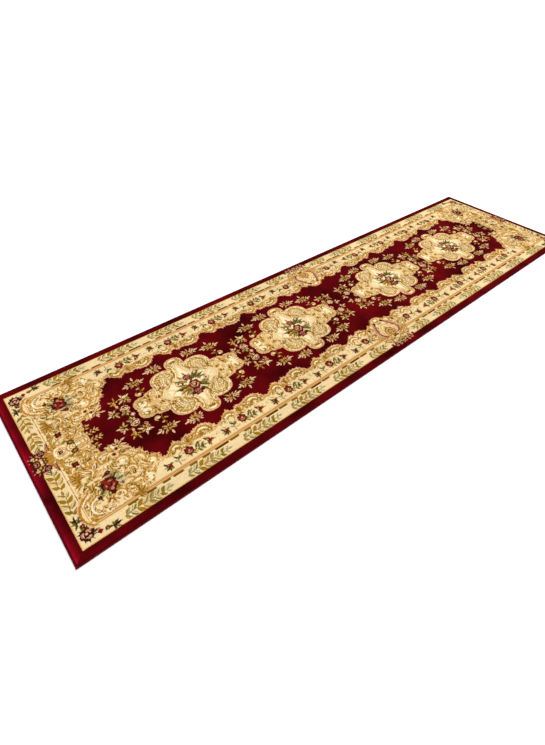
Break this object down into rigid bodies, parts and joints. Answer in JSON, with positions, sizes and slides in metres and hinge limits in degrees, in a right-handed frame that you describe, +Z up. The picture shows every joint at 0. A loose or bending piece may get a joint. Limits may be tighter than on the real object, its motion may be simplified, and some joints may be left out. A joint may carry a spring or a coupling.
{
  "type": "runner rug",
  "caption": "Long narrow woven floral rug with overcast edges, a scalloped border and a row of round medallions, laid flat on a floor.",
  "frame": {"origin": "centre of the underside, on the floor", "axes": "+X along the runner's length, +Y across its width, +Z up through the pile"},
  "size_m": [3, 0.8, 0.009],
  "materials": {
    "back_coat": "matte latex",
    "ground_weave": "coarse jute weave",
    "edge_yarn": "overcast polypropylene yarn",
    "burgundy_pile": "cut pile with a soft sheen",
    "ivory_pile": "cut pile with a soft sheen",
    "gold_pile": "cut pile with a soft sheen",
    "olive_pile": "cut pile with a soft sheen",
    "brown_pile": "cut pile with a soft sheen",
    "flower_pile": "cut pile in mixed reds, pinks and greens"
  },
  "bodies": {
    "root": {"latex_back_coat": "back_coat", "ground_weave": "ground_weave", "serging_front": "edge_yarn", "serging_back": "edge_yarn", "binding_near": "edge_yarn", "binding_far": "edge_yarn", "pile_outer_band": "burgundy_pile", "pile_guard_stripe": "ivory_pile", "pile_guard_garlands": "olive_pile", "pile_dashed_line": "brown_pile", "pile_gold_stripe": "gold_pile", "pile_border_ground": "ivory_pile", "pile_scallop_edging": "gold_pile", "pile_border_roses": "flower_pile", "pile_border_leaves": "olive_pile", "pile_corner_scrolls": "gold_pile", "pile_corner_roses": "flower_pile", "pile_corner_bouquets": "flower_pile", "pile_end_cartouches": "gold_pile", "pile_end_flowers": "flower_pile", "pile_side_cartouches": "gold_pile", "pile_side_fans": "brown_pile", "pile_field": "burgundy_pile", "pile_medallion_1": "ivory_pile", "pile_medallion_2": "ivory_pile", "pile_medallion_3": "ivory_pile", "pile_medallion_4": "ivory_pile", "pile_medallion_edging": "gold_pile", "pile_medallion_shells": "gold_pile", "pile_medallion_bouquets": "flower_pile", "pile_field_sprays": "olive_pile", "pile_field_buds": "flower_pile"}
  },
  "joints": []
}
